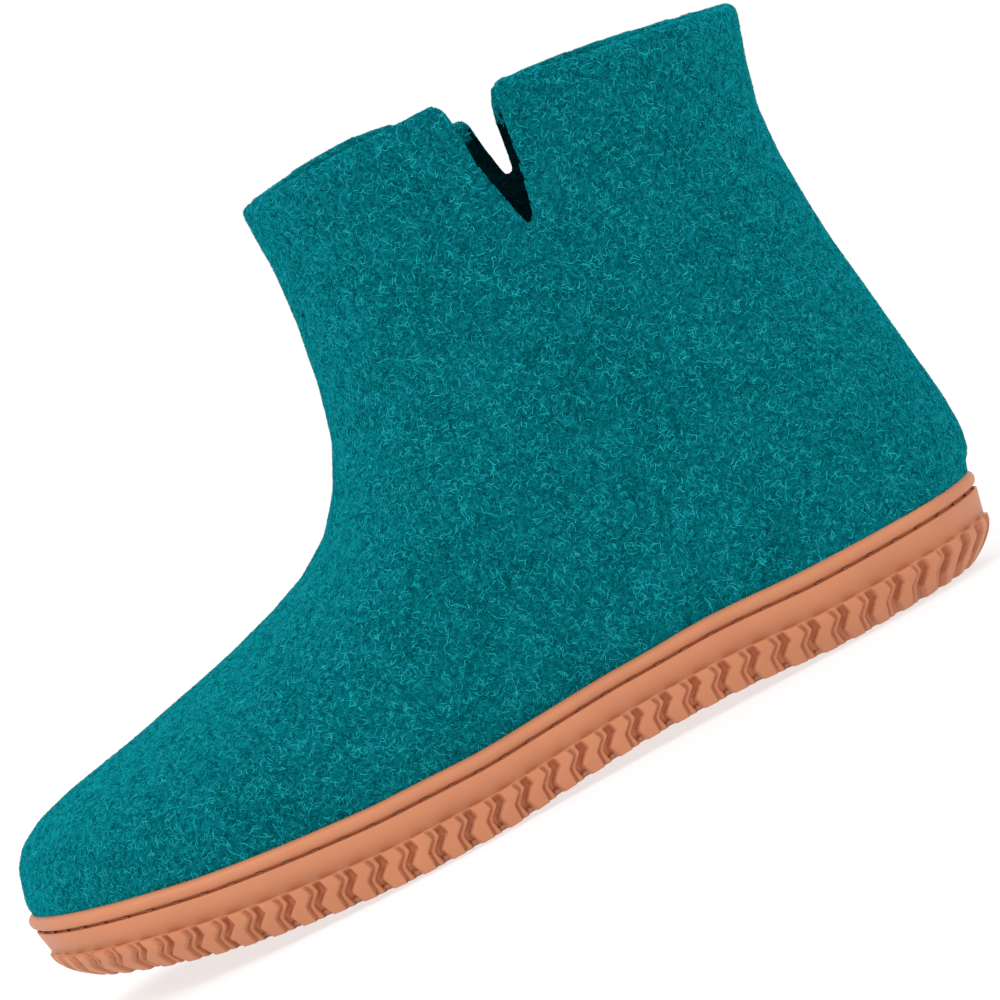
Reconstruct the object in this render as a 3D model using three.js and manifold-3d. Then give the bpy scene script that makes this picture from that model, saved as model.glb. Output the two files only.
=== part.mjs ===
// Felt ankle boot on a stitched rubber sole, left foot, in millimetres.
// +X runs from the toe to the heel, +Y to the inner side of the foot, +Z up.
// The origin is on the floor, at the middle of the whole boot.

import * as THREE from "three";
import Module from "manifold-3d";
import { mergeVertices } from "three/addons/utils/BufferGeometryUtils.js";

const { lerp, clamp, smoothstep } = THREE.MathUtils;
const wasm = await Module();
wasm.setup();

// Sole sizes, heights measured from the foot of the tread
const soleLength = 285;
const ballWidth = 105;
const heelWidth = 73;
const toeSpring = 11.7;
const archRise = 2.9;
const treadHeight = 11;
const bandHeight = 6.7;
const recessHeight = 1.1; // gap above the band that takes the stitch
const recessDepth = 1.5;
const beadHeight = 4.4;
const beadOverhang = 0.7;
const beadSquareness = 0.6;
const bandBevel = 0.5;
const clearance = 0.3; // between pieces that seat on each other

// Tread
const lugCount = 74;
const lugRise = 0.8; // of a lug's face beyond the band
const ribRise = 0.1;
const slotSink = 1; // of the slot between two lugs behind the band
const slotDepth = 1.8; // of the same slot under the sole
const lugReach = 10; // of lug and slot in under the sole
const toeTuck = 9.5; // roll of the tread's lower edge at the toe, heel and sides
const heelTuck = 13;
const sideTuck = 1.8;
const tuckSharpness = 6; // of the change from the sides to the tips
const padRise = 0.8; // of the pads the boot stands on, below the lugs
const padDraft = 1.2;
const padRoot = 4; // of a pad up in the outsole

// Felt
const feltWall = 5;
const insoleThickness = 5;
const insoleGap = 0.9; // between the insole's edge and the felt
const feltInset = 3.2; // of the felt's foot inside the sole's outline
const feltBulge = 3;
const bulgeHeight = 15;
const domeSquareness = 2.3; // of a section across the foot
const shaftHeight = 160; // of the collar above the platform
const collarWidth = 84;
const ankleWidth = 75;
const shaftFullness = 2.2; // of its oval, 2 being an ellipse
const shaftStart = 0.25; // shares of shaftHeight between which the foot turns into the shaft
const shaftEnd = 0.65;
const ridgeSkew = 3; // of the instep's ridge toward the inner side

// Notches in the collar: place is a share of the sole's length, and the edge droops ahead of it
const outerNotch = { place: 0.7285, width: 14.2, depth: 38.6, droop: 0.5, droopAhead: 0 };
const innerNotch = { place: 0.746, width: 8, depth: 28, droop: 9.9, droopAhead: 6.7 };
const droopSpread = 0.09; // share of the collar's length

// Outline of the sole from the toe along the outer side to the heel and back
const outlinePoints = [
  { along: 0.0, across: 0.1, of: ballWidth },
  { along: 0.022, across: -0.14, of: ballWidth },
  { along: 0.078, across: -0.32, of: ballWidth },
  { along: 0.17, across: -0.44, of: ballWidth },
  { along: 0.29, across: -0.492, of: ballWidth },
  { along: 0.4, across: -0.49, of: ballWidth },
  { along: 0.52, across: -0.43, of: ballWidth },
  { along: 0.64, across: -0.545, of: heelWidth },
  { along: 0.76, across: -0.51, of: heelWidth },
  { along: 0.87, across: -0.475, of: heelWidth },
  { along: 0.957, across: -0.32, of: heelWidth },
  { along: 1.0, across: -0.01, of: heelWidth },
  { along: 0.957, across: 0.3, of: heelWidth },
  { along: 0.87, across: 0.465, of: heelWidth },
  { along: 0.76, across: 0.485, of: heelWidth },
  { along: 0.64, across: 0.485, of: heelWidth },
  { along: 0.52, across: 0.38, of: ballWidth },
  { along: 0.41, across: 0.45, of: ballWidth },
  { along: 0.3, across: 0.498, of: ballWidth },
  { along: 0.19, across: 0.49, of: ballWidth },
  { along: 0.085, across: 0.43, of: ballWidth },
  { along: 0.022, across: 0.3, of: ballWidth },
];

// Side view of the sole: lift by toe spring and arch, and thickness as a share of the full height
const soleStations = [
  { along: 0.0, spring: 1.0, arch: 0, thick: 0.905 },
  { along: 0.056, spring: 0.817, arch: 0, thick: 0.9 },
  { along: 0.112, spring: 0.59, arch: 0, thick: 0.92 },
  { along: 0.168, spring: 0.38, arch: 0, thick: 0.935 },
  { along: 0.225, spring: 0.22, arch: 0, thick: 0.95 },
  { along: 0.29, spring: 0.085, arch: 0, thick: 0.957 },
  { along: 0.36, spring: 0, arch: 0, thick: 0.955 },
  { along: 0.44, spring: 0, arch: 0, thick: 0.932 },
  { along: 0.52, spring: 0, arch: 0.55, thick: 0.892 },
  { along: 0.62, spring: 0, arch: 1, thick: 0.885 },
  { along: 0.7, spring: 0, arch: 0.85, thick: 0.93 },
  { along: 0.82, spring: 0, arch: 0, thick: 0.985 },
  { along: 1.0, spring: 0, arch: 0, thick: 0.985 },
];

// Felt from the toe over the instep to the collar: up is a share of shaftHeight above the platform
const frontProfile = [
  { along: 0.0112, up: 0 },
  { along: 0.0112, up: 0.036 },
  { along: 0.0065, up: 0.052 },
  { along: 0.004, up: 0.065 },
  { along: 0.006, up: 0.083 },
  { along: 0.009, up: 0.103 },
  { along: 0.019, up: 0.136 },
  { along: 0.0455, up: 0.173 },
  { along: 0.096, up: 0.2145 },
  { along: 0.173, up: 0.264 },
  { along: 0.248, up: 0.3085 },
  { along: 0.311, up: 0.348 },
  { along: 0.362, up: 0.3845 },
  { along: 0.398, up: 0.417 },
  { along: 0.422, up: 0.45 },
  { along: 0.449, up: 0.513 },
  { along: 0.467, up: 0.576 },
  { along: 0.478, up: 0.637 },
  { along: 0.485, up: 0.7 },
  { along: 0.491, up: 0.78 },
  { along: 0.4955, up: 0.88 },
  { along: 0.495, up: 0.945 },
  { along: 0.4935, up: 0.994 },
];

// Felt up the back of the heel to the collar
const backProfile = [
  { along: 0.9888, up: 0 },
  { along: 0.9888, up: 0.036 },
  { along: 1.001, up: 0.056 },
  { along: 1.0115, up: 0.082 },
  { along: 1.0135, up: 0.11 },
  { along: 1.013, up: 0.14 },
  { along: 1.012, up: 0.17 },
  { along: 1.009, up: 0.207 },
  { along: 1.004, up: 0.257 },
  { along: 0.9985, up: 0.32 },
  { along: 0.9945, up: 0.382 },
  { along: 0.99, up: 0.445 },
  { along: 0.985, up: 0.507 },
  { along: 0.981, up: 0.57 },
  { along: 0.978, up: 0.632 },
  { along: 0.977, up: 0.69 },
  { along: 0.98, up: 0.755 },
  { along: 0.988, up: 0.818 },
  { along: 1.001, up: 0.88 },
  { along: 1.005, up: 0.914 },
];

// Sections through the felt from its foot to the collar: where each meets the two profiles
const cutStations = [
  { cut: 0, front: 0, back: 0 },
  { cut: 0.1, front: 0.035, back: 0.05 },
  { cut: 0.2, front: 0.08, back: 0.1 },
  { cut: 0.3, front: 0.14, back: 0.15 },
  { cut: 0.4, front: 0.25, back: 0.21 },
  { cut: 0.5, front: 0.38, back: 0.28 },
  { cut: 0.6, front: 0.5, back: 0.37 },
  { cut: 0.7, front: 0.61, back: 0.5 },
  { cut: 0.8, front: 0.72, back: 0.64 },
  { cut: 0.9, front: 0.86, back: 0.82 },
  { cut: 1, front: 1, back: 1 },
];

// Width of the shaft between ankleWidth (0) and collarWidth (1)
const shaftStations = [
  { up: 0.3, wide: 0.1 },
  { up: 0.55, wide: 0 },
  { up: 0.7, wide: 0.12 },
  { up: 0.85, wide: 0.6 },
  { up: 1, wide: 1 },
];

// Edge of the collar from front to back, as a share of shaftHeight above the platform
const rimStations = [
  { along: 0, up: 0.994 },
  { along: 0.1, up: 0.999 },
  { along: 0.25, up: 0.996 },
  { along: 0.45, up: 0.995 },
  { along: 0.65, up: 0.969 },
  { along: 0.85, up: 0.941 },
  { along: 1, up: 0.914 },
];

// V of each notch: reach toward the toe and the heel in shares of the width at the collar
const outerNotchStations = [
  { up: 0, toeward: 0, heelward: 0 },
  { up: 0.012, toeward: 0.06, heelward: 0.06 },
  { up: 0.04, toeward: 0.1, heelward: 0.1 },
  { up: 0.33, toeward: 0.27, heelward: 0.25 },
  { up: 0.6, toeward: 0.41, heelward: 0.36 },
  { up: 0.96, toeward: 0.47, heelward: 0.5 },
  { up: 1.01, toeward: 0.51, heelward: 0.54 },
  { up: 1.04, toeward: 0.6, heelward: 0.62 },
  { up: 1.3, toeward: 0.67, heelward: 0.7 },
];
const innerNotchStations = [
  { up: 0, toeward: 0, heelward: 0 },
  { up: 0.015, toeward: 0.06, heelward: 0.06 },
  { up: 0.05, toeward: 0.1, heelward: 0.1 },
  { up: 0.5, toeward: 0.27, heelward: 0.27 },
  { up: 0.95, toeward: 0.49, heelward: 0.49 },
  { up: 1.01, toeward: 0.54, heelward: 0.54 },
  { up: 1.06, toeward: 0.66, heelward: 0.66 },
  { up: 1.4, toeward: 0.74, heelward: 0.74 },
];

// Lug, rib and slot of one pitch: face of each column, at places in shares of the pitch
const treadColumns = [
  { at: 0, face: "lug" },
  { at: 0.46, face: "lug" },
  { at: 0.5, face: "rib" },
  { at: 0.69, face: "rib" },
  { at: 0.74, face: "slot" },
  { at: 0.97, face: "slot" },
];

// Rows down the side of the tread: height, slant toward the heel in shares of the pitch, share of the tuck
const treadRows = [
  { up: 1, slant: 0, tuck: 0.15 },
  { up: 0.63, slant: 0.06, tuck: 0.31 },
  { up: 0.34, slant: -0.27, tuck: 0.54 },
  { up: 0.1, slant: -0.08, tuck: 0.8 },
  { up: 0, slant: -0.03, tuck: 1 },
];

// Pads under the ball and the heel: shares of the sole's length and of the width named
const padStations = [
  { from: 0.285, to: 0.458, outer: 0.27, inner: 0.28, of: ballWidth },
  { from: 0.753, to: 0.9, outer: 0.22, inner: 0.22, of: heelWidth },
];

const toeX = -soleLength / 2;
const treadTop = treadHeight;
const bandTop = treadTop + clearance + bandHeight;
const platform = bandTop + clearance;
const beadTop = platform + recessHeight + beadHeight;

// Smooth value of one column of a table, without overshoot between its rows
function read(table, key, column, at) {
  const last = table.length - 1;
  if (at <= table[0][key]) return table[0][column];
  if (at >= table[last][key]) return table[last][column];
  const row = table.findIndex((entry) => entry[key] > at) - 1;
  const rise = (k) =>
    (table[k + 1][column] - table[k][column]) / (table[k + 1][key] - table[k][key]);
  const slope = (k) => {
    if (k === 0 || k === last) return rise(Math.min(k, last - 1));
    const product = rise(k - 1) * rise(k);
    return product <= 0 ? 0 : (2 * product) / (rise(k - 1) + rise(k));
  };
  const span = table[row + 1][key] - table[row][key];
  const t = (at - table[row][key]) / span;
  const ease = t * t * (3 - 2 * t);
  return (
    lerp(table[row][column], table[row + 1][column], ease) +
    t * (1 - t) * span * ((1 - t) * slope(row) - t * slope(row + 1))
  );
}

const alongSole = (x) => (x - toeX) / soleLength;

function treadFoot(x) {
  const along = alongSole(x);
  const spring = toeSpring * read(soleStations, "along", "spring", along);
  return spring + archRise * read(soleStations, "along", "arch", along);
}

function soleLevel(x, level) {
  return treadFoot(x) + level * read(soleStations, "along", "thick", alongSole(x));
}

const outline = new THREE.CatmullRomCurve3(
  outlinePoints.map((p) => new THREE.Vector3(toeX + p.along * soleLength, p.across * p.of, 0)),
  true,
  "centripetal",
);
outline.arcLengthDivisions = 3000;
const soleGirth = outline.getLength();
const tipShares = findTips();

// Shares of the outline's length at which it is furthest to the toe and to the heel
function findTips() {
  const steps = 2000;
  const samples = Array.from({ length: steps }, (_, i) => {
    const share = i / steps - 0.25;
    return { share, x: outline.getPointAt((share + 1) % 1).x };
  });
  samples.sort((a, b) => a.x - b.x);
  return { toe: samples[0].share, heel: samples[steps - 1].share };
}

// Point beside the outline: turn 0 is the toe, 0.5 the heel, and out is measured square to it
function besideOutline(turn, out) {
  const wrapped = turn - Math.floor(turn);
  const share =
    wrapped < 0.5
      ? lerp(tipShares.toe, tipShares.heel, wrapped * 2)
      : lerp(tipShares.heel, tipShares.toe + 1, wrapped * 2 - 1);
  const place = share - Math.floor(share);
  const point = outline.getPointAt(place);
  const tangent = outline.getTangentAt(place);
  return { x: point.x + out * tangent.y, y: point.y - out * tangent.x };
}

function solePoint(turn, out, level) {
  const { x, y } = besideOutline(turn, out);
  return new THREE.Vector3(x, y, soleLevel(x, level));
}

// Loop of count points beside the outline
function soleLoop(count, out, level) {
  return Array.from({ length: count }, (_, i) => solePoint(i / count, out, level));
}

// Skin over a stack of loops, counter-clockwise from above and taken outward, up and inward
function skin(loops, closing) {
  const count = loops[0].length;
  const index = [];
  const spans = closing === "ring" ? loops.length : loops.length - 1;
  for (let i = 0; i < spans; i += 1) {
    const low = i * count;
    const high = ((i + 1) % loops.length) * count;
    for (let j = 0; j < count; j += 1) {
      const next = (j + 1) % count;
      index.push(low + j, low + next, high + next);
      index.push(low + j, high + next, high + j);
    }
  }
  if (closing === "caps") {
    const top = (loops.length - 1) * count;
    for (const [a, b, c] of crossLadder(count)) {
      index.push(a, c, b);
      index.push(top + a, top + b, top + c);
    }
  }
  const geometry = new THREE.BufferGeometry();
  const places = loops.flat().flatMap((p) => [p.x, p.y, p.z]);
  geometry.setAttribute("position", new THREE.Float32BufferAttribute(places, 3));
  geometry.setIndex(index);
  return geometry;
}

// Triangles across a loop, from each point of one side to the one opposite
function crossLadder(count) {
  const triangles = [];
  for (let i = 0; i < count / 2; i += 1) {
    const opposite = count - i;
    if (i + 1 < opposite - 1) triangles.push([i, i + 1, opposite - 1]);
    if (i > 0) triangles.push([i, opposite - 1, opposite]);
  }
  return triangles;
}

// Roll of the tread's lower edge: most at the heel and the toe
function tuckAt(turn) {
  const toeward = (1 + Math.cos(2 * Math.PI * turn)) / 2;
  return (
    sideTuck +
    (toeTuck - sideTuck) * toeward ** tuckSharpness +
    (heelTuck - sideTuck) * (1 - toeward) ** tuckSharpness
  );
}

// Loop round the side of the tread at one of its rows
function treadLoop(row) {
  const rise = { lug: lugRise, rib: ribRise, slot: -slotSink };
  const points = [];
  for (let lug = 0; lug < lugCount; lug += 1) {
    for (const column of treadColumns) {
      const turn = (lug + column.at + row.slant) / lugCount;
      const out = rise[column.face] - tuckAt(turn) * row.tuck;
      const lift = column.face === "slot" ? slotDepth * row.tuck : 0;
      points.push(solePoint(turn, out, row.up * treadHeight + lift * (1 - row.up)));
    }
  }
  return points;
}

// Loop under the sole where the slots run out
function underLoop() {
  const points = [];
  for (let lug = 0; lug < lugCount; lug += 1) {
    for (const column of treadColumns) {
      const turn = (lug + column.at) / lugCount;
      points.push(solePoint(turn, -tuckAt(turn) - lugReach, 0));
    }
  }
  return points;
}

// Pad with sloping sides, its top buried in the outsole
function padSolid({ from, to, outer, inner, of }) {
  const loopAt = (grow, z) => {
    const front = toeX + from * soleLength - grow;
    const back = toeX + to * soleLength + grow;
    const left = -outer * of - grow;
    const right = inner * of + grow;
    return [
      new THREE.Vector3(front, left, z),
      new THREE.Vector3(back, left, z),
      new THREE.Vector3(back, right, z),
      new THREE.Vector3(front, right, z),
    ];
  };
  return toSolid(skin([loopAt(0, -padRise), loopAt(padDraft, padRoot)], "caps"));
}

function outsoleGeometry() {
  const side = treadRows.map(treadLoop).reverse();
  const tread = toSolid(skin([underLoop(), ...side], "caps"));
  return fromSolid(padStations.reduce((solid, pad) => solid.add(padSolid(pad)), tread));
}

const smoothCount = 92; // points round each plain loop of the sole

function midsoleGeometry() {
  const foot = treadTop + clearance;
  return skin(
    [
      soleLoop(smoothCount, -bandBevel, foot),
      soleLoop(smoothCount, 0, foot + bandBevel),
      soleLoop(smoothCount, 0, bandTop - bandBevel),
      soleLoop(smoothCount, -bandBevel, bandTop),
    ],
    "caps",
  );
}

// Bead: a narrow foot behind the recess and a half round above it
function weltGeometry() {
  const inner = clearance - feltInset;
  const middle = platform + recessHeight + beadHeight / 2;
  const reach = beadOverhang - inner;
  const lowest = THREE.MathUtils.degToRad(-70);
  const arcSteps = 3;
  const loops = [
    soleLoop(smoothCount, inner, platform),
    soleLoop(smoothCount, -recessDepth, platform),
    soleLoop(smoothCount, -recessDepth, platform + recessHeight),
  ];
  for (let i = 0; i <= arcSteps; i += 1) {
    const angle = lerp(lowest, Math.PI / 2, i / arcSteps);
    const out = inner + reach * Math.cos(angle) ** beadSquareness;
    const level = middle + (beadHeight / 2) * Math.sin(angle);
    loops.push(soleLoop(smoothCount, i === arcSteps ? inner + bandBevel : out, level));
  }
  loops.push(soleLoop(smoothCount, inner, beadTop - bandBevel));
  return skin(loops, "ring");
}

function insoleGeometry() {
  const out = -feltInset - feltWall - insoleGap;
  const foot = platform;
  const top = foot + insoleThickness;
  return skin(
    [
      soleLoop(smoothCount, out, foot),
      soleLoop(smoothCount, out, top - bandBevel),
      soleLoop(smoothCount, out - bandBevel, top),
    ],
    "caps",
  );
}

function profileCurve(rows) {
  const points = rows.map(({ along, up }) => {
    const x = toeX + along * soleLength;
    return new THREE.Vector3(x, 0, soleLevel(x, platform) + up * shaftHeight);
  });
  const curve = new THREE.CatmullRomCurve3(points, false, "centripetal");
  curve.arcLengthDivisions = 800;
  return curve;
}

const frontCurve = profileCurve(frontProfile);
const backCurve = profileCurve(backProfile);
const frontPoints = frontCurve.getSpacedPoints(400);
const backPoints = backCurve.getSpacedPoints(300);
const rimFront = frontPoints[frontPoints.length - 1];
const rimBack = backPoints[backPoints.length - 1];
const foremost = frontPoints.reduce((best, p, i) => (p.x < frontPoints[best].x ? i : best), 0);
const nosePoints = frontPoints.slice(0, foremost + 1);
const ridgePoints = frontPoints.slice(foremost);

// Height or length of a curve's samples where another of their coordinates has a given value
function along(points, key, value, at) {
  const next = points.findIndex((p) => p[key] > at);
  if (next === 0) return points[0][value];
  if (next < 0) return points[points.length - 1][value];
  const [a, b] = [points[next - 1], points[next]];
  return lerp(a[value], b[value], (at - a[key]) / (b[key] - a[key]));
}

// Sides of the felt's foot: y of the outer and inner side against x
const footSamples = 160;
const footSide = (from, to) =>
  Array.from({ length: footSamples + 1 }, (_, i) =>
    besideOutline(lerp(from, to, i / footSamples), -feltInset),
  ).sort((a, b) => a.x - b.x);
const outerSide = footSide(0, 0.5);
const innerSide = footSide(1, 0.5);
const footStart = outerSide[0].x;
const footEnd = outerSide[footSamples].x;

// Half width and middle of the foot at a height, with the felt bulging over the bead
function footSection(x, z) {
  const nose = along(nosePoints, "z", "x", z);
  const heel = along(backPoints, "z", "x", z);
  const share = clamp((x - nose) / (heel - nose), 0, 1);
  const planX = lerp(footStart, footEnd, share);
  const outer = along(outerSide, "x", "y", planX);
  const inner = along(innerSide, "x", "y", planX);
  const foot = soleLevel(x, platform);
  const ridge = along(ridgePoints, "x", "z", x);
  const climb = clamp((z - foot) / (ridge - foot), 0, 1);
  const above = smoothstep(z, foot + recessHeight + beadHeight, foot + bulgeHeight);
  const bulge = 1 + (2 * feltBulge * above) / ballWidth;
  const dome = Math.sqrt(1 - climb ** domeSquareness);
  return {
    half: ((inner - outer) / 2) * bulge * dome,
    middle: (inner + outer) / 2 + ridgeSkew * climb * climb,
  };
}

// Half width of the shaft's oval
function shaftHalf(share, z) {
  const up = (z - platform) / shaftHeight;
  const width = lerp(ankleWidth, collarWidth, read(shaftStations, "up", "wide", up));
  return (width / 2) * Math.sqrt(1 - Math.abs(2 * share - 1) ** shaftFullness);
}

// Point of the felt's outer face on the section cut, at a turn round it from the toe
function feltPoint(cut, turn) {
  const front = frontCurve.getPointAt(read(cutStations, "cut", "front", cut));
  const back = backCurve.getPointAt(read(cutStations, "cut", "back", cut));
  const share = (1 - Math.cos(2 * Math.PI * turn)) / 2;
  const side = turn < 0.5 ? -1 : 1;
  const x = lerp(front.x, back.x, share);
  const footX = lerp(footStart, footEnd, share);
  const footChord = lerp(frontPoints[0].z, backPoints[0].z, share);
  const sag = (soleLevel(footX, platform) - footChord) * (1 - cut) ** 2;
  const z = lerp(front.z, back.z, share) + sag + crown(share, side) * cut ** 4;
  const blend = smoothstep((z - platform) / shaftHeight, shaftStart, shaftEnd);
  const foot = footSection(x, z);
  const half = lerp(foot.half, shaftHalf(share, z), blend);
  return new THREE.Vector3(x, lerp(foot.middle, 0, blend) + side * half, z);
}

const rimShare = (x) => (x - rimFront.x) / (rimBack.x - rimFront.x);

// Level of the collar's edge before it droops at the notches
function rimLevel(share) {
  const x = lerp(rimFront.x, rimBack.x, share);
  return soleLevel(x, platform) + shaftHeight * read(rimStations, "along", "up", share);
}

// Drop of the collar's edge near a notch
function droopAt(share, notch) {
  const deepest = rimShare(toeX + notch.place * soleLength - notch.droopAhead);
  return notch.droop * Math.exp(-(((share - deepest) / droopSpread) ** 2));
}

// Rise of the collar's edge above the chord from its front to its back
function crown(share, side) {
  const droop = droopAt(share, side < 0 ? outerNotch : innerNotch);
  return rimLevel(share) - droop - lerp(rimFront.z, rimBack.z, share);
}

// Inward offset of a grid of outer points by the felt's wall, level at the foot
function innerGrid(grid) {
  const count = grid[0].length;
  return grid.map((loop, i) =>
    loop.map((point, j) => {
      const round = loop[(j + 1) % count].clone().sub(loop[(j + count - 1) % count]);
      const low = grid[Math.max(i - 1, 0)][j];
      const high = grid[Math.min(i + 1, grid.length - 1)][j];
      const normal = round.cross(high.clone().sub(low));
      if (i === 0) normal.z = 0;
      return point.clone().addScaledVector(normal.normalize(), -feltWall);
    }),
  );
}

// Round edge between the last outer and the last inner loop
function rimLoops(outer, inner, below) {
  const steps = 4;
  return Array.from({ length: steps - 1 }, (_, k) => {
    const angle = (Math.PI * (k + 1)) / steps;
    return outer.map((point, j) => {
      const middle = point.clone().add(inner[j]).multiplyScalar(0.5);
      const rise = point.clone().sub(below[j]).normalize();
      return middle
        .clone()
        .addScaledVector(point.clone().sub(middle), Math.cos(angle))
        .addScaledVector(rise, (Math.sin(angle) * feltWall) / 2);
    });
  });
}

// Cutter of one notch, through one side of the shaft
function notchCutter(notch, stations, side) {
  const place = toeX + notch.place * soleLength;
  const share = rimShare(place);
  const collar = rimLevel(share) - droopAt(share, notch);
  const edge = (direction, way) =>
    stations.map(
      (row) =>
        new THREE.Vector2(
          place + direction * row[way] * notch.width,
          collar + notch.depth * (row.up - 1),
        ),
    );
  const shape = new THREE.Shape([...edge(1, "heelward"), ...edge(-1, "toeward").slice(1).reverse()]);
  const reach = collarWidth;
  const geometry = new THREE.ExtrudeGeometry(shape, { depth: reach, bevelEnabled: false });
  geometry.rotateX(Math.PI / 2);
  if (side > 0) geometry.translate(0, reach, 0);
  return toSolid(geometry);
}

function toSolid(geometry) {
  const bare = new THREE.BufferGeometry();
  bare.setAttribute("position", geometry.getAttribute("position"));
  bare.setIndex(geometry.getIndex());
  const merged = mergeVertices(bare, 1e-4);
  const mesh = new wasm.Mesh({
    numProp: 3,
    vertProperties: new Float32Array(merged.getAttribute("position").array),
    triVerts: new Uint32Array(merged.getIndex().array),
  });
  return new wasm.Manifold(mesh);
}

function fromSolid(solid) {
  const mesh = solid.getMesh();
  const geometry = new THREE.BufferGeometry();
  geometry.setAttribute("position", new THREE.Float32BufferAttribute(mesh.vertProperties, 3));
  geometry.setIndex([...mesh.triVerts]);
  return geometry;
}

function upperGeometry() {
  const columns = 56;
  const cuts = 20;
  const outer = Array.from({ length: cuts + 1 }, (_, i) =>
    Array.from({ length: columns }, (_, j) => feltPoint(i / cuts, j / columns)),
  );
  const inner = innerGrid(outer);
  const rim = rimLoops(outer[cuts], inner[cuts], outer[cuts - 1]);
  const lining = inner.filter((_, i) => i % 2 === 0).reverse();
  const shell = toSolid(skin([...outer, ...rim, ...lining], "ring"));
  return fromSolid(
    shell
      .subtract(notchCutter(outerNotch, outerNotchStations, -1))
      .subtract(notchCutter(innerNotch, innerNotchStations, 1)),
  );
}

const feltColour = new THREE.Color(0x086c75);
const footbedColour = new THREE.Color(0x0a5a62);
const rubberColour = new THREE.Color(0xc47e5e);

function feltMaterial(colour) {
  return new THREE.MeshStandardMaterial({ color: colour, roughness: 0.95, metalness: 0 });
}

function rubberMaterial() {
  return new THREE.MeshStandardMaterial({ color: rubberColour, roughness: 0.55, metalness: 0 });
}

function piece(name, geometry, material) {
  const mesh = new THREE.Mesh(geometry, material);
  mesh.name = name;
  return mesh;
}

const boot = new THREE.Group();
boot.name = "felt_boot";
boot.add(
  piece("upper", upperGeometry(), feltMaterial(feltColour)),
  piece("insole", insoleGeometry(), feltMaterial(footbedColour)),
  piece("welt", weltGeometry(), rubberMaterial()),
  piece("midsole", midsoleGeometry(), rubberMaterial()),
  piece("outsole", outsoleGeometry(), rubberMaterial()),
);

// Move the whole boot so that the origin is under its middle, on the floor
const bounds = new THREE.Box3().setFromObject(boot);
const middle = bounds.getCenter(new THREE.Vector3());
for (const mesh of boot.children) mesh.position.set(-middle.x, -middle.y, -bounds.min.z);

export default boot;
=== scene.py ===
# Felt ankle boot on a stitched rubber sole: finish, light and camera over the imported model.
# Metres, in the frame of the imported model: +X toe to heel, +Y to the inner side, +Z up.

import math

import bmesh
import bpy
import numpy as np
from mathutils import Matrix, Vector, noise
from mathutils.bvhtree import BVHTree


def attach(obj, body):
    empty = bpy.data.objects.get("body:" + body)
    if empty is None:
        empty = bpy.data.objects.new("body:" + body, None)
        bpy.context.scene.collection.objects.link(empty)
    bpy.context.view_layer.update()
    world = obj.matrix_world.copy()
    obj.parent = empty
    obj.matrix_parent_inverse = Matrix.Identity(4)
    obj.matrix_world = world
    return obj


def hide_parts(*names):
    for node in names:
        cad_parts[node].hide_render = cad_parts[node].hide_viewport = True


MM = 0.001

# Camera: where it looks, from how far, and how it is turned
CAMERA_TARGET = Vector((23.1, 0, 76.2)) * MM
CAMERA_AZIMUTH = math.radians(-2)
CAMERA_ELEVATION = math.radians(4.7)
CAMERA_DISTANCE = 2057 * MM
CAMERA_ROLL = math.radians(27.46)
PHOTO_WIDTH_PX = 1000
PHOTO_PX_PER_MM = 3.659
SENSOR_WIDTH = 36
CLIP_END = 50

# Felt shell: cell of the even mesh, softening of its edges and slow waves of its surface
WELD_DISTANCE = 0.01 * MM
FELT_VOXEL = 1.5 * MM
FELT_SMOOTHING = 4
FELT_UNEVEN = 0.5 * MM
FELT_UNEVEN_SIZE = 28 * MM

# Swell of the felt out over the bead, and the height above the bead where it ends
FOOT_SWELL_TOE = 2.0 * MM
FOOT_SWELL_HEEL = 3.0 * MM
FOOT_SWELL_SIDE = 0.5 * MM
FOOT_SWELL_HEIGHT = 9 * MM

# Painted shade on the inside felt: sideways leans of the looks from a face, their start and reach, and
# the cuts of the notches where shade is painted
SHADE_LOOKS = [(0, 0, 0), (0.4, 0, 0), (-0.4, 0, 0), (0, 0, 0.25), (0, 0, -0.25)]
LOOK_START = 1 * MM
LOOK_REACH = 300 * MM
NOTCH_SPAN = (50 * MM, 82 * MM)
NOTCH_SHADE = (138 * MM, 166 * MM)
OUTWARD_LIMIT = 0.35

# Sole, heights above the foot of the tread
TREAD_HEIGHT = 11 * MM
BAND_FOOT = 11.3 * MM
BAND_TOP = 18 * MM
BAND_BEVEL = 0.5 * MM
BAND_ROUNDING = 0.15 * MM
BAND_CREST = 18.6 * MM
WELT_FOOT = 18.3 * MM
RECESS_TOP = 19.2 * MM
BEAD_TOP = 23.8 * MM
RECESS_DEPTH = 1.5 * MM
BEAD_REACH = 0.7 * MM
BEAD_INNER = -2.9 * MM
BEAD_SQUARENESS = 0.6
BEAD_LOWEST = -1.25
BEAD_STEPS = 12
BEAD_CROWN = 0.4 * MM
SIDE_TUCK = 1.8 * MM
TOE_TUCK = 9.5 * MM
HEEL_TUCK = 11 * MM
TUCK_SHARPNESS = 6
TUCK_AT_TOP = 0.15
FOOT_ZONE = 2 * BEAD_TOP
EDGE_STEP = 0.4 * MM
EDGE_COLUMNS = 700

# Tread pattern, lengths along the sole's edge and heights below the top of the tread
LUG_COUNT = 74
LUG_REACH = 10 * MM
SLOT_DEPTH = 1.8 * MM
COLUMNS_PER_LUG = 40
EDGE_SOFTNESS = 0.55 * MM

# Zigzag of a lug's two edges on their way down: shift toward the heel at each depth
FRONT_ZIGZAG = [(0, 0), (3.3 * MM, 0.9 * MM), (7 * MM, -2.6 * MM), (11 * MM, -0.8 * MM)]
BACK_ZIGZAG = [(0, 0), (3 * MM, 1.4 * MM), (6 * MM, -1.5 * MM), (8.8 * MM, -1.3 * MM), (11 * MM, -1 * MM)]

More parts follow.
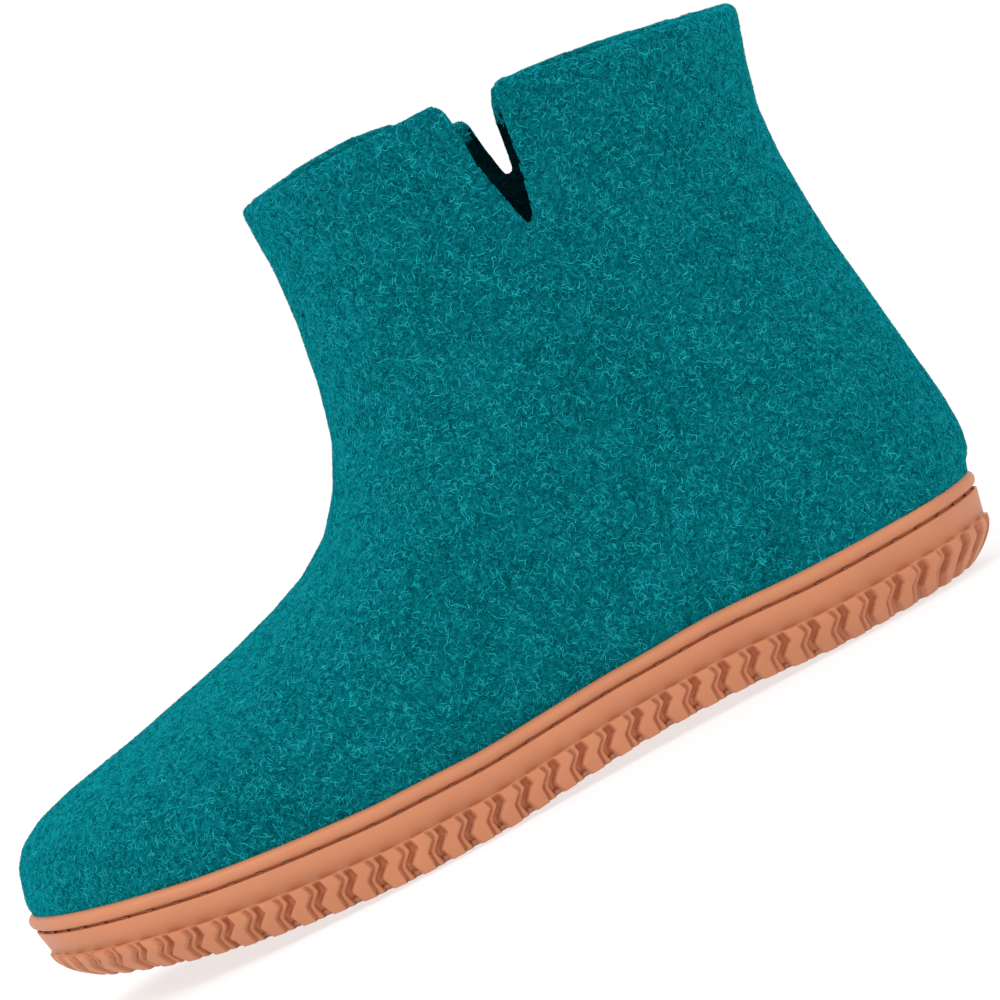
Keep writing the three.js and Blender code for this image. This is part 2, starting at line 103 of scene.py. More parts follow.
# Faces of one pitch: start in shares of it, height beyond the band, share of the back zigzag
LUG_FACES = [
    (0.0, 1.0 * MM, 0.0),
    (0.47, -1.0 * MM, 1.0),
    (0.56, -0.3 * MM, 0.9),
    (0.75, -2.2 * MM, 0.5),
]
LUG_CREST = 0.5 * MM
GROOVE_HEAD = 2 * MM

# Rows down the tread, close together at its head and foot, then in under it with the share of a slot left
HEAD_DEPTHS = np.array([0, 0.1, 0.25, 0.45, 0.7, 1.0, 1.5]) * MM
MIDDLE_DEPTHS = np.linspace(2.1, 9.9, 14) * MM
FOOT_DEPTHS = np.array([10.4, 10.8, 11]) * MM
UNDER_ROWS = [(0.06, 1), (0.5, 1), (0.9, 0.6), (1, 0)]
SLOT_FULL = -0.6 * MM

# Pads under the ball and the heel, cut into zigzag bars
PADS = [
    {"front": -62.4 * MM, "back": -13.4 * MM, "outer": -27 * MM, "inner": 28 * MM, "bars": 7},
    {"front": 71.1 * MM, "back": 112.1 * MM, "outer": -15 * MM, "inner": 15 * MM, "bars": 5},
]
PAD_TOP = 4 * MM
BAR_PITCH = 7 * MM
BAR_LENGTH = 4.6 * MM
BAR_ZIGZAG = 1.6 * MM
BAR_STEPS = 8

# Fibres on the felt, as many in each of three shades: smallest and largest measures
FIBRES_PER_SHADE = 32000
FIBRE_LENGTH = (1.4 * MM, 3.4 * MM)
FIBRE_WIDTH = (0.14 * MM, 0.26 * MM)
FIBRE_BEND = 1.5 / MM
FIBRE_LIFT = (0.04 * MM, 0.26 * MM)
FIBRE_SEGMENTS = 3
FIBRE_TIP = 0.35
FIBRE_SINK = 0.03 * MM

# Stitches in the recess
STITCH_PITCH = 8.2 * MM
STITCH_LENGTH = 2.4 * MM
STITCH_THICKNESS = 0.7 * MM
STITCH_TIP = 0.02 * MM
STITCH_RINGS = 9
STITCH_SIDES = 8

# Curly lines in the felt: size of the noise, width of the line and offset of the noise
FELT_CURLS = [
    (2.6 * MM, 0.045, (0, 0, 0)),
    (2.2 * MM, 0.045, (0.13, 0.07, 0.02)),
    (1.7 * MM, 0.05, (0.05, 0.19, 0.11)),
]
FELT_FUZZ_SIZE = 0.7 * MM
FELT_MOTTLE_SIZE = 14 * MM

# Backdrop in metres: half width, near and far end of the floor, radius of the bend and height
FLOOR_HALF_WIDTH, FLOOR_NEAR, FLOOR_FAR, FLOOR_BEND, FLOOR_HEIGHT = 12, -4, 6, 2, 8
FLOOR_BEND_STEPS = 16

# Lights in metres and watts: place, size and power
LIGHT_TARGET = (0, 0, 0.09)
LIGHTS = {
    "key": {"place": (-0.9, -1.1, 1.5), "size": 1.0, "power": 14},
    "fill": {"place": (1.2, -1.2, 0.7), "size": 1.2, "power": 3},
    "rim": {"place": (0.5, 1.3, 1.2), "size": 0.9, "power": 6},
}


def smoothstep(low, high, value):
    t = np.clip((value - low) / (high - low), 0, 1)
    return t * t * (3 - 2 * t)


def add_mesh(name, points, faces, material, smooth=True):
    mesh = bpy.data.meshes.new(name)
    mesh.from_pydata(points.tolist(), [], faces)
    mesh.update()
    if smooth:
        mesh.shade_smooth()
    else:
        mesh.shade_flat()
    mesh.materials.append(material)
    piece = bpy.data.objects.new(name, mesh)
    bpy.context.scene.collection.objects.link(piece)
    return piece


# Outline of the sole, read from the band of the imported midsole


class SoleEdge:
    """Smooth closed outline of the sole with the height of the band's two edges along it."""

    def __init__(self, midsole):
        corners = np.array([vertex.co for vertex in midsole.data.vertices])
        columns = {}
        for x, y, z in corners:
            columns.setdefault((round(x, 5), round(y, 5)), set()).add(round(z, 5))
        face_limit = BAND_TOP - BAND_FOOT - 1.8 * BAND_BEVEL
        band = [(x, y, min(zs), max(zs)) for (x, y), zs in columns.items() if len(zs) > 1]
        band = [corner for corner in band if corner[3] - corner[2] < face_limit]
        band = np.array(sorted(band, key=lambda p: math.atan2(p[1], p[0])))
        toe = int(np.argmin(band[:, 0]))
        self.points = np.roll(band, -toe, axis=0)
        steps = np.linalg.norm(np.diff(self.points[:, :2], axis=0, append=self.points[:1, :2]), axis=1)
        self.places = np.concatenate([[0], np.cumsum(steps)])
        self.girth = self.places[-1]

    def at(self, place):
        """Position and the band's two heights at distances along the edge from the toe."""
        place = np.mod(place, self.girth)
        count = len(self.points)
        i = np.clip(np.searchsorted(self.places, place, side="right") - 1, 0, count - 1)
        t = ((place - self.places[i]) / (self.places[i + 1] - self.places[i]))[..., None]
        p0, p1, p2, p3 = (self.points[(i + k) % count] for k in (-1, 0, 1, 2))
        return 0.5 * (
            2 * p1
            + (p2 - p0) * t
            + (2 * p0 - 5 * p1 + 4 * p2 - p3) * t**2
            + (3 * p1 - p0 - 3 * p2 + p3) * t**3
        )

    def point(self, place, out, level):
        """Point at a distance along the edge, moved outward, at a height above the tread's foot."""
        here = self.at(place)
        ahead = self.at(place + EDGE_STEP)[..., :2] - self.at(place - EDGE_STEP)[..., :2]
        ahead /= np.linalg.norm(ahead, axis=-1, keepdims=True)
        low, high = here[..., 2], here[..., 3]
        thick = (high - low) / (BAND_TOP - BAND_FOOT - 2 * BAND_BEVEL)
        foot = low - (BAND_FOOT + BAND_BEVEL) * thick
        x = here[..., 0] + out * ahead[..., 1]
        y = here[..., 1] - out * ahead[..., 0]
        return np.stack([x, y, foot + level * thick], axis=-1)


def grid_faces(rows, columns, closed=False):
    faces = []
    for i in range(rows if closed else rows - 1):
        low, high = i * columns, ((i + 1) % rows) * columns
        for j in range(columns):
            k = (j + 1) % columns
            faces.append((low + j, low + k, high + k, high + j))
    return faces


def ladder_faces(start, count, down):
    """Quads across a loop, from each point of one side to the one opposite."""
    faces = []
    for i in range(count // 2):
        ring = [i, i + 1, count - i - 1, (count - i) % count]
        ring = list(dict.fromkeys(ring))
        if len(ring) > 2:
            faces.append(tuple(start + k for k in (reversed(ring) if down else ring)))
    return faces


# Rubber pieces


def tip_shares(edge, place):
    """How much a place belongs to the tip of the toe and to that of the heel."""
    toeward = (1 + np.cos(2 * np.pi * place / edge.girth)) / 2
    return toeward**TUCK_SHARPNESS, (1 - toeward) ** TUCK_SHARPNESS


def tuck_at(edge, place):
    toe, heel = tip_shares(edge, place)
    return SIDE_TUCK + (TOE_TUCK - SIDE_TUCK) * toe + (HEEL_TUCK - SIDE_TUCK) * heel


def zigzag(table, depth):
    return np.interp(depth, *zip(*table))


def lug_relief(edge, place, depth):
    """How far the tread stands beyond the band at places along it, at a depth below its top."""
    pitch = edge.girth / LUG_COUNT
    front, back = zigzag(FRONT_ZIGZAG, depth), zigzag(BACK_ZIGZAG, depth)
    half = EDGE_SOFTNESS / 2
    phase = np.mod(place - front + half, pitch) - half
    last = LUG_FACES[-1][1]
    relief = np.full_like(place, last)
    for start, out, lean in LUG_FACES:
        step_at = start * pitch + (back - front) * lean
        relief += (out - last) * smoothstep(step_at - half, step_at + half, phase)
        last = out
    lug_rise = smoothstep(0, LUG_CREST, depth)
    groove_rise = smoothstep(0, GROOVE_HEAD, depth)
    return np.where(relief > 0, relief * lug_rise, relief * groove_rise)


def make_outsole(edge, material):
    columns = LUG_COUNT * COLUMNS_PER_LUG
    place = np.arange(columns) / columns * edge.girth
    tuck = tuck_at(edge, place)
    rows = []
    for depth in np.concatenate([HEAD_DEPTHS, MIDDLE_DEPTHS, FOOT_DEPTHS]):
        level = TREAD_HEIGHT - depth
        roll = TUCK_AT_TOP + (1 - TUCK_AT_TOP) * (depth / TREAD_HEIGHT) ** 2
        rows.append(edge.point(place, lug_relief(edge, place, depth) - tuck * roll, level))
    slot = 1 - smoothstep(SLOT_FULL, 0, lug_relief(edge, place, TREAD_HEIGHT))
    for reach, fade in UNDER_ROWS:
        rows.append(edge.point(place, -tuck - LUG_REACH * reach, SLOT_DEPTH * slot * fade))
    rows.reverse()
    faces = grid_faces(len(rows), columns)
    faces += ladder_faces(0, columns, down=True)
    faces += ladder_faces((len(rows) - 1) * columns, columns, down=False)
    piece = add_mesh("tread", np.concatenate(rows), faces, material)
    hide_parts("outsole")
    return piece


def make_band(edge, material):
    columns = EDGE_COLUMNS
    place = np.arange(columns) / columns * edge.girth
    foot_inset = TUCK_AT_TOP * tuck_at(edge, place)
    profile = [
        (0, TREAD_HEIGHT),
        (0, BAND_CREST - BAND_BEVEL),
        (-BAND_ROUNDING, BAND_CREST - BAND_ROUNDING),
        (-BAND_BEVEL, BAND_CREST),
    ]
    rows = []
    for out, level in profile:
        drop = (BAND_CREST - level) / (BAND_CREST - TREAD_HEIGHT)
        rows.append(edge.point(place, out - foot_inset * drop, level))
    faces = grid_faces(len(rows), columns)
    faces += ladder_faces(0, columns, down=True)
    faces += ladder_faces((len(rows) - 1) * columns, columns, down=False)
    piece = add_mesh("band", np.concatenate(rows), faces, material)
    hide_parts("midsole")
    return piece


def make_bead(edge, material):
    columns = EDGE_COLUMNS
    place = np.arange(columns) / columns * edge.girth
    middle = (RECESS_TOP + BEAD_TOP) / 2
    height = BEAD_TOP - RECESS_TOP
    profile = [(BEAD_INNER, WELT_FOOT), (-RECESS_DEPTH, WELT_FOOT), (-RECESS_DEPTH, RECESS_TOP)]
    for angle in np.linspace(BEAD_LOWEST, math.pi / 2, BEAD_STEPS):
        out = BEAD_INNER + (BEAD_REACH - BEAD_INNER) * max(math.cos(angle), 0.0) ** BEAD_SQUARENESS
        profile.append((out, middle + height / 2 * math.sin(angle)))
    profile[-1] = (BEAD_INNER + BEAD_CROWN, BEAD_TOP)
    rows = [edge.point(place, out, level) for out, level in profile]
    faces = grid_faces(len(rows), columns, closed=True)
    piece = add_mesh("bead", np.concatenate(rows), faces, material)
    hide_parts("welt")
    return piece


def make_stitches(edge, material):
    count = round(edge.girth / STITCH_PITCH)
    along = np.linspace(-1, 1, STITCH_RINGS)
    around = np.arange(STITCH_SIDES) / STITCH_SIDES * 2 * np.pi
    points, faces = [], []
    for n in range(count):
        centre = (n + 0.5) * edge.girth / count
        start = len(points)
        for u in along:
            radius = STITCH_THICKNESS / 2 * math.sqrt(max(0.0, 1 - abs(u) ** 4)) + STITCH_TIP
            for angle in around:
                place = np.array(centre + u * STITCH_LENGTH / 2)
                out = -RECESS_DEPTH / 2 + radius * math.cos(angle)
                level = (BAND_CREST + RECESS_TOP) / 2 + radius * math.sin(angle)
                points.append(edge.point(place, out, level))
        for i in range(STITCH_RINGS - 1):
            for j in range(STITCH_SIDES):
                a = start + i * STITCH_SIDES + j
                b = start + i * STITCH_SIDES + (j + 1) % STITCH_SIDES
                faces.append((a, b, b + STITCH_SIDES, a + STITCH_SIDES))
        faces.append(tuple(start + j for j in reversed(range(STITCH_SIDES))))
        faces.append(tuple(start + (STITCH_RINGS - 1) * STITCH_SIDES + j for j in range(STITCH_SIDES)))
    return add_mesh("stitches", np.array(points), faces, material)


def make_pads(material):
    """Zigzag bars on the two pads that touch the floor."""
    points, faces = [], []
    for pad in PADS:
        gap = (pad["back"] - pad["front"] - (pad["bars"] - 1) * BAR_PITCH - BAR_LENGTH) / 2
        for bar in range(pad["bars"]):
            start = pad["front"] + gap + bar * BAR_PITCH
            first = len(points)
            for step in range(BAR_STEPS + 1):
                y = pad["outer"] + (pad["inner"] - pad["outer"]) * step / BAR_STEPS
                shift = BAR_ZIGZAG / 2 * (-1) ** step
                for x, z in ((0, 0), (BAR_LENGTH, 0), (BAR_LENGTH, PAD_TOP), (0, PAD_TOP)):
                    points.append((start + x + shift, y, z))
            for step in range(BAR_STEPS):
                for side in range(4):
                    a, b = first + 4 * step + side, first + 4 * step + (side + 1) % 4
                    faces.append((a, b, b + 4, a + 4))
            faces.append(tuple(first + k for k in (3, 2, 1, 0)))
            faces.append(tuple(first + 4 * BAR_STEPS + k for k in range(4)))
    return add_mesh("tread_pads", np.array(points), faces, material, smooth=False)


# Felt


def apply_modifiers(piece):
    graph = bpy.context.evaluated_depsgraph_get()
    mesh = bpy.data.meshes.new_from_object(piece.evaluated_get(graph))
    piece.modifiers.clear()
    piece.data = mesh
    return piece


def vertex_arrays(mesh):
    """Positions and normals of a mesh's vertices."""
    places = np.empty(len(mesh.vertices) * 3)
    normals = np.empty(len(mesh.vertices) * 3)
    mesh.vertices.foreach_get("co", places)
    mesh.vertices.foreach_get("normal", normals)
    return places.reshape(-1, 3), normals.reshape(-1, 3)


def refined_copy(node, name, voxel, smoothing):
    """Fine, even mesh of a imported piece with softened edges."""
    source = bmesh.new()
    source.from_mesh(node.data)
    bmesh.ops.remove_doubles(source, verts=source.verts, dist=WELD_DISTANCE)
    mesh = bpy.data.meshes.new(name)
    source.to_mesh(mesh)
    source.free()
    piece = bpy.data.objects.new(name, mesh)
    bpy.context.scene.collection.objects.link(piece)
    remesh = piece.modifiers.new("remesh", "REMESH")
    remesh.mode = "VOXEL"
    remesh.voxel_size = voxel
    soften = piece.modifiers.new("soften", "SMOOTH")
    soften.factor = 0.5
    soften.iterations = smoothing
    return apply_modifiers(piece)


def surface_tree(mesh):
    places, _ = vertex_arrays(mesh)
    return BVHTree.FromPolygons(places.tolist(), [tuple(face.vertices) for face in mesh.polygons])


def face_arrays(mesh):
    """Middles, normals and areas of a mesh's faces."""
    middles = np.empty(len(mesh.polygons) * 3)
    normals = np.empty(len(mesh.polygons) * 3)
    areas = np.empty(len(mesh.polygons))
    mesh.polygons.foreach_get("center", middles)
    mesh.polygons.foreach_get("normal", normals)
    mesh.polygons.foreach_get("area", areas)
    return middles.reshape(-1, 3), normals.reshape(-1, 3), areas


def painted_shade_faces(mesh, tree):
    """Whether each face gets the painted shade of the inside: it looks mostly at other felt, or lies deep
    in a notch's cut.
    """
    middles, normals, _ = face_arrays(mesh)
    start = middles + normals * LOOK_START
    seen = np.zeros(len(middles))
    for shift in SHADE_LOOKS:
        ways = normals + np.array(shift)
        for i, (place, way) in enumerate(zip(start, ways)):
            hit = tree.ray_cast(Vector(place), Vector(way).normalized(), LOOK_REACH)[0]
            seen[i] += hit is not None
    along, up = middles[:, 0], middles[:, 2]
    by_notch = (along > NOTCH_SPAN[0]) & (along < NOTCH_SPAN[1]) & (up > NOTCH_SHADE[0])
    by_notch &= up < NOTCH_SHADE[1]
    faces_out = normals[:, 1] * np.sign(middles[:, 1]) > OUTWARD_LIMIT
    return np.where(by_notch, ~faces_out, seen > len(SHADE_LOOKS) / 2)


def swell_foot(edge, places, normals):
    """Push the felt's outside out over the bead, most at the tips of toe and heel."""
    low = np.flatnonzero(places[:, 2] < FOOT_ZONE)
    outline = edge.points[:, None, :2] - places[None, low, :2]
    place = edge.places[np.argmin(np.linalg.norm(outline, axis=2), axis=0)]
    toe, heel = tip_shares(edge, place)
    most = FOOT_SWELL_SIDE + (FOOT_SWELL_TOE - FOOT_SWELL_SIDE) * toe
    most += (FOOT_SWELL_HEEL - FOOT_SWELL_SIDE) * heel
    height = places[low, 2] - edge.point(place, np.zeros(len(low)), BEAD_TOP)[:, 2]
    facing_out = np.sum(places[low, :2] * normals[low, :2], axis=1) > 0
    push = most * facing_out * (1 - smoothstep(0, FOOT_SWELL_HEIGHT, height))
    push *= smoothstep(RECESS_TOP - BEAD_TOP, 0, height)
    places[low, :2] += normals[low, :2] * push[:, None]


def make_upper(node, edge, material, inside_shade_felt):
    piece = refined_copy(node, "felt_shell", FELT_VOXEL, FELT_SMOOTHING)
    places, normals = vertex_arrays(piece.data)
    swell_foot(edge, places, normals)
    waves = np.array([noise.noise(Vector(place / FELT_UNEVEN_SIZE)) for place in places])
    places += normals * (waves * FELT_UNEVEN)[:, None]
    piece.data.vertices.foreach_set("co", places.ravel())
    piece.data.update()
    piece.data.shade_smooth()
    piece.data.materials.clear()
    piece.data.materials.append(material)
    piece.data.materials.append(inside_shade_felt)
    # Faces that look mostly at other felt, or lie deep in a notch's cut, take the near-black felt as
    # painted shade.
    in_painted_shade = painted_shade_faces(piece.data, surface_tree(piece.data))
    piece.data.polygons.foreach_set("material_index", in_painted_shade.astype(np.int32))
    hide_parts("upper")
    return piece


def make_fibres(shell, name, seed, material):
    """Curved wool fibres as ribbons that lie on the outside of the felt, joined in one mesh."""
    rng = np.random.default_rng(seed)
    mesh = shell.data
    tree = surface_tree(mesh)
    middles, normals, areas = face_arrays(mesh)
    # Fibres go only on faces without the painted shade of the inside.
    painted_shade_index = np.empty(len(mesh.polygons), dtype=np.int32)
    mesh.polygons.foreach_get("material_index", painted_shade_index)
    weights = areas * (painted_shade_index == 0)
    count = FIBRES_PER_SHADE
    chosen = rng.choice(len(middles), size=count, p=weights / weights.sum())
    origin, normal = middles[chosen], normals[chosen]
    across = np.cross(normal, rng.normal(size=(count, 3)))
    across /= np.linalg.norm(across, axis=1, keepdims=True)
    beyond = np.cross(normal, across)
    origin = origin + across * rng.uniform(-1, 1, (count, 1)) * FELT_VOXEL / 2
    origin = origin + beyond * rng.uniform(-1, 1, (count, 1)) * FELT_VOXEL / 2
    length = rng.uniform(*FIBRE_LENGTH, count)
    bend = rng.uniform(-1, 1, count) * FIBRE_BEND
    lift = rng.uniform(*FIBRE_LIFT, count)
    width = rng.uniform(*FIBRE_WIDTH, count)
    path, facing = [], []
    shares = np.linspace(-0.5, 0.5, FIBRE_SEGMENTS + 1)
    for share in shares:
        turn = bend * share * length
        reach = share * length * np.sinc(turn / (2 * np.pi))
        along = across * np.cos(turn / 2)[:, None] + beyond * np.sin(turn / 2)[:, None]
        found = [tree.find_nearest(Vector(p))[:2] for p in origin + along * reach[:, None]]
        height = (lift * (1 - (2 * share) ** 2) - FIBRE_SINK)[:, None]
        facing.append(np.array([f[1] for f in found]))
        path.append(np.array([f[0] for f in found]) + facing[-1] * height)
    path, facing = np.array(path), np.array(facing)
    heading = np.gradient(path, axis=0)
    side = np.cross(facing, heading)
    side /= np.maximum(np.linalg.norm(side, axis=2, keepdims=True), 1e-9)
    taper = (1 - (1 - FIBRE_TIP) * (2 * shares) ** 2)[:, None, None]
    half = side * width[None, :, None] * taper / 2
    points = np.stack([path + half, path - half], axis=2).transpose(1, 0, 2, 3).reshape(-1, 3)
    rows = FIBRE_SEGMENTS + 1
    first = np.arange(count)[:, None] * rows * 2 + np.arange(FIBRE_SEGMENTS)[None, :] * 2
    faces = np.stack([first, first + 1, first + 3, first + 2], axis=2).reshape(-1, 4)
    return add_mesh(name, points, faces.tolist(), material)


# Materials


def new_material(name):
    material = bpy.data.materials.new(name)
    material.use_nodes = True
    nodes = material.node_tree.nodes
    return material, nodes, material.node_tree.links, nodes["Principled BSDF"]


def math_node(nodes, links, operation, *inputs):
    node = nodes.new("ShaderNodeMath")
    node.operation = operation
    for socket, value in zip(node.inputs, inputs):
        if isinstance(value, (int, float)):
            socket.default_value = value
        else:
            links.new(value, socket)
    return node.outputs[0]


def noise_node(nodes, links, vector, size, detail=0.0, distortion=0.0):
    node = nodes.new("ShaderNodeTexNoise")
    node.inputs["Scale"].default_value = 1 / size
    node.inputs["Detail"].default_value = detail
    node.inputs["Distortion"].default_value = distortion
    links.new(vector, node.inputs["Vector"])
    return node


def ramp_node(nodes, links, factor, stops):
    node = nodes.new("ShaderNodeValToRGB")
    links.new(factor, node.inputs["Fac"])
    elements = node.color_ramp.elements
    while len(elements) < len(stops):
        elements.new(0.5)
    for element, (place, colour) in zip(elements, stops):
        element.position = place
        element.color = (*colour, 1)
    return node.outputs["Color"]


def curls(nodes, links, vector, size, width):
    """Thin curly lines, 1 on the line and 0 between: the contours of a smooth noise."""
    wave = noise_node(nodes, links, vector, size, detail=1.0, distortion=0.6)
    off = math_node(nodes, links, "SUBTRACT", wave.outputs["Fac"], 0.5)
    away = math_node(nodes, links, "ABSOLUTE", off)
    near = math_node(nodes, links, "DIVIDE", away, width)
    return math_node(nodes, links, "SUBTRACT", 1.0, math_node(nodes, links, "MINIMUM", near, 1.0))


def moved(nodes, links, vector, offset):
    node = nodes.new("ShaderNodeMapping")
    node.inputs["Location"].default_value = offset
    links.new(vector, node.inputs["Vector"])
    return node.outputs[0]


def felt_material(name, dark, light, sheen):
    material, nodes, links, shader = new_material(name)
    place = nodes.new("ShaderNodeTexCoord").outputs["Object"]
    lines = None
    for size, width, offset in FELT_CURLS:
        line = curls(nodes, links, moved(nodes, links, place, offset), size, width)
        lines = line if lines is None else math_node(nodes, links, "MAXIMUM", lines, line)
    fuzz = noise_node(nodes, links, place, FELT_FUZZ_SIZE, detail=3.0).outputs["Fac"]
    mottle = noise_node(nodes, links, place, FELT_MOTTLE_SIZE, detail=2.0).outputs["Fac"]
    strand = math_node(nodes, links, "MULTIPLY", lines, 0.75)
    grain = math_node(nodes, links, "MULTIPLY", math_node(nodes, links, "SUBTRACT", fuzz, 0.5), 0.9)
    patch = math_node(nodes, links, "MULTIPLY", math_node(nodes, links, "SUBTRACT", mottle, 0.5), 0.5)
    shade = math_node(nodes, links, "ADD", math_node(nodes, links, "ADD", strand, grain), patch)
    shade = math_node(nodes, links, "ADD", shade, 0.15)
    links.new(ramp_node(nodes, links, shade, [(0.0, dark), (1.0, light)]), shader.inputs["Base Color"])
    shader.inputs["Roughness"].default_value = 0.95
    shader.inputs["Specular IOR Level"].default_value = 0
    shader.inputs["Sheen Weight"].default_value = sheen
    shader.inputs["Sheen Roughness"].default_value = 0.5
    shader.inputs["Sheen Tint"].default_value = (0.01, 0.75, 0.85, 1)
    bump = nodes.new("ShaderNodeBump")
    bump.inputs["Strength"].default_value = 0.8
    bump.inputs["Distance"].default_value = 0.4 * MM
    links.new(math_node(nodes, links, "ADD", strand, grain), bump.inputs["Height"])
    links.new(bump.outputs["Normal"], shader.inputs["Normal"])
    return material


def fibre_material(name, dark, light):
    material, nodes, links, shader = new_material(name)
    place = nodes.new("ShaderNodeTexCoord").outputs["Object"]
    shade = noise_node(nodes, links, place, 2.5 * MM, detail=2.0).outputs["Fac"]
    links.new(ramp_node(nodes, links, shade, [(0.3, dark), (0.7, light)]), shader.inputs["Base Color"])
    shader.inputs["Roughness"].default_value = 0.9
    shader.inputs["Specular IOR Level"].default_value = 0
    return material


def rubber_material():
    material, nodes, links, shader = new_material("moulded_rubber")
    place = nodes.new("ShaderNodeTexCoord").outputs["Object"]
    cloud = noise_node(nodes, links, place, 18 * MM, detail=3.0).outputs["Fac"]
    colour = ramp_node(nodes, links, cloud, [(0.3, (0.51, 0.186, 0.088)), (0.7, (0.56, 0.209, 0.1))])
    links.new(colour, shader.inputs["Base Color"])
    shader.inputs["Specular IOR Level"].default_value = 0.4
    pores = noise_node(nodes, links, place, 0.35 * MM, detail=2.0).outputs["Fac"]
    rough = nodes.new("ShaderNodeMapRange")
    rough.inputs["To Min"].default_value = 0.42
    rough.inputs["To Max"].default_value = 0.62
    links.new(cloud, rough.inputs["Value"])
    links.new(rough.outputs[0], shader.inputs["Roughness"])
    bump = nodes.new("ShaderNodeBump")
    bump.inputs["Strength"].default_value = 0.15
    bump.inputs["Distance"].default_value = 0.1 * MM
    links.new(pores, bump.inputs["Height"])
    links.new(bump.outputs["Normal"], shader.inputs["Normal"])
    return material


def thread_material():
    material, nodes, links, shader = new_material("stitch_thread")
    place = nodes.new("ShaderNodeTexCoord").outputs["Object"]
    twist = noise_node(nodes, links, place, 0.5 * MM, detail=1.0).outputs["Fac"]
    colour = ramp_node(nodes, links, twist, [(0.3, (0.16, 0.05, 0.025)), (0.7, (0.3, 0.1, 0.05))])
    links.new(colour, shader.inputs["Base Color"])
    shader.inputs["Roughness"].default_value = 0.8
    return material


def paper_material():
    """White sheet with a glow of its own, so that shadows on it stay pale."""
    material, nodes, links, shader = new_material("pale_floor")
    shader.inputs["Base Color"].default_value = (0.3, 0.3, 0.3, 1)
    shader.inputs["Roughness"].default_value = 1
    shader.inputs["Specular IOR Level"].default_value = 0
    shader.inputs["Emission Color"].default_value = (1, 1, 1, 1)
    shader.inputs["Emission Strength"].default_value = 0.7
    return material


# Stage


def make_floor():
    """Pale floor that curves up into a backdrop far behind the boot."""
    path = [(FLOOR_NEAR, 0.0), (FLOOR_FAR, 0.0)]
    for angle in np.linspace(0, math.pi / 2, FLOOR_BEND_STEPS)[1:]:
        path.append((FLOOR_FAR + FLOOR_BEND * math.sin(angle), FLOOR_BEND * (1 - math.cos(angle))))
    path.append((FLOOR_FAR + FLOOR_BEND, FLOOR_HEIGHT))
    sides = (-FLOOR_HALF_WIDTH, FLOOR_HALF_WIDTH)
    points = np.array([(x, y, z) for y, z in path for x in sides])
    faces = [(2 * i, 2 * i + 1, 2 * i + 3, 2 * i + 2) for i in range(len(path) - 1)]
    floor = add_mesh("floor", points, faces, paper_material())


def add_area_light(name, place, target, size, power):
    light = bpy.data.lights.new(name, "AREA")
    light.shape = "DISK"
    light.size = size
    light.energy = power
    lamp = bpy.data.objects.new(name, light)
    lamp.location = place
    lamp.rotation_euler = (Vector(target) - Vector(place)).to_track_quat("-Z", "Y").to_euler()
    bpy.context.scene.collection.objects.link(lamp)


def make_lights():
    world = bpy.data.worlds.new("studio")
    world.use_nodes = True
    world.node_tree.nodes["Background"].inputs["Color"].default_value = (1, 1, 1, 1)
    world.node_tree.nodes["Background"].inputs["Strength"].default_value = 1.0
    bpy.context.scene.world = world
    for name, light in LIGHTS.items():
        add_area_light(name, light["place"], LIGHT_TARGET, light["size"], light["power"])


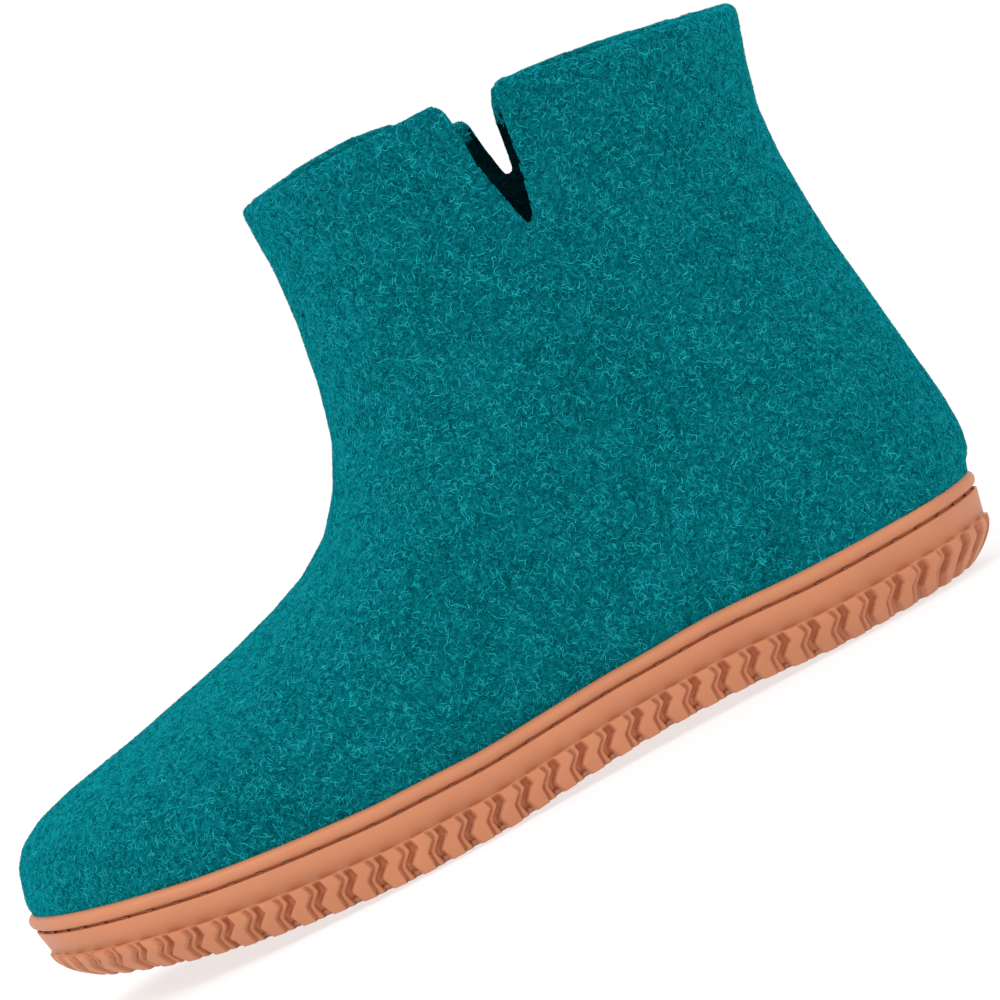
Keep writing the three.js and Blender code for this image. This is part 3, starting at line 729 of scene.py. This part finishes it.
def make_camera():
    data = bpy.data.cameras.new("camera")
    data.sensor_width = SENSOR_WIDTH
    data.lens = PHOTO_PX_PER_MM / MM * CAMERA_DISTANCE * SENSOR_WIDTH / PHOTO_WIDTH_PX
    data.clip_end = CLIP_END
    camera = bpy.data.objects.new("camera", data)
    back = Vector(
        (
            math.sin(CAMERA_AZIMUTH) * math.cos(CAMERA_ELEVATION),
            -math.cos(CAMERA_AZIMUTH) * math.cos(CAMERA_ELEVATION),
            math.sin(CAMERA_ELEVATION),
        )
    )
    level = (-back).to_track_quat("-Z", "Y").to_matrix().to_4x4()
    roll = Matrix.Rotation(-CAMERA_ROLL, 4, "Z")
    camera.matrix_world = Matrix.Translation(CAMERA_TARGET + back * CAMERA_DISTANCE) @ level @ roll
    bpy.context.scene.collection.objects.link(camera)
    bpy.context.scene.camera = camera


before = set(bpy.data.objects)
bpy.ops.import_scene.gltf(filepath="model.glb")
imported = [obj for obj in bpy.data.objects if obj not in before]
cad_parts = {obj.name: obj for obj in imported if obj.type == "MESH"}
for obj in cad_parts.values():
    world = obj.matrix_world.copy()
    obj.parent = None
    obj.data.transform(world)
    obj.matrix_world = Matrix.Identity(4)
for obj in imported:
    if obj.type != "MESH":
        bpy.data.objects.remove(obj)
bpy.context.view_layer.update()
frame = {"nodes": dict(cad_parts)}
nodes = frame["nodes"]
make_camera()
make_floor()
make_lights()
bpy.context.scene.view_settings.view_transform = "Standard"

felt = felt_material("wool_felt", (0.0, 0.05, 0.062), (0.003, 0.19, 0.222), 0.6)
# Near-black copy of the felt: painted shade for the inside of the boot and the notches' cuts.
inside_shade_felt = felt_material("felt_painted_shade", (0.0, 0.004, 0.005), (0.0, 0.018, 0.022), 0.0)
footbed = felt_material("footbed_felt", (0.001, 0.05, 0.06), (0.01, 0.22, 0.25), 0.2)
rubber = rubber_material()

edge = SoleEdge(nodes["midsole"])
shell = make_upper(nodes["upper"], edge, felt, inside_shade_felt)
pale = fibre_material("pale_fibre", (0.006, 0.24, 0.275), (0.016, 0.4, 0.45))
middling = fibre_material("middling_fibre", (0.001, 0.13, 0.155), (0.003, 0.19, 0.222))
deep = fibre_material("deep_fibre", (0.0, 0.045, 0.058), (0.0, 0.1, 0.118))
shown = [
    (shell, "felt"),
    (make_fibres(shell, "fibres_pale", 11, pale), "felt"),
    (make_fibres(shell, "fibres_middling", 12, middling), "felt"),
    (make_fibres(shell, "fibres_deep", 13, deep), "felt"),
    (make_pads(rubber), "rubber"),
    (make_bead(edge, rubber), "rubber"),
    (make_band(edge, rubber), "rubber"),
    (make_outsole(edge, rubber), "rubber"),
    (make_stitches(edge, thread_material()), "rubber"),
]
for piece, slot_name in shown:
    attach(piece, "root")
nodes["insole"].data.materials.clear()
nodes["insole"].data.materials.append(footbed)
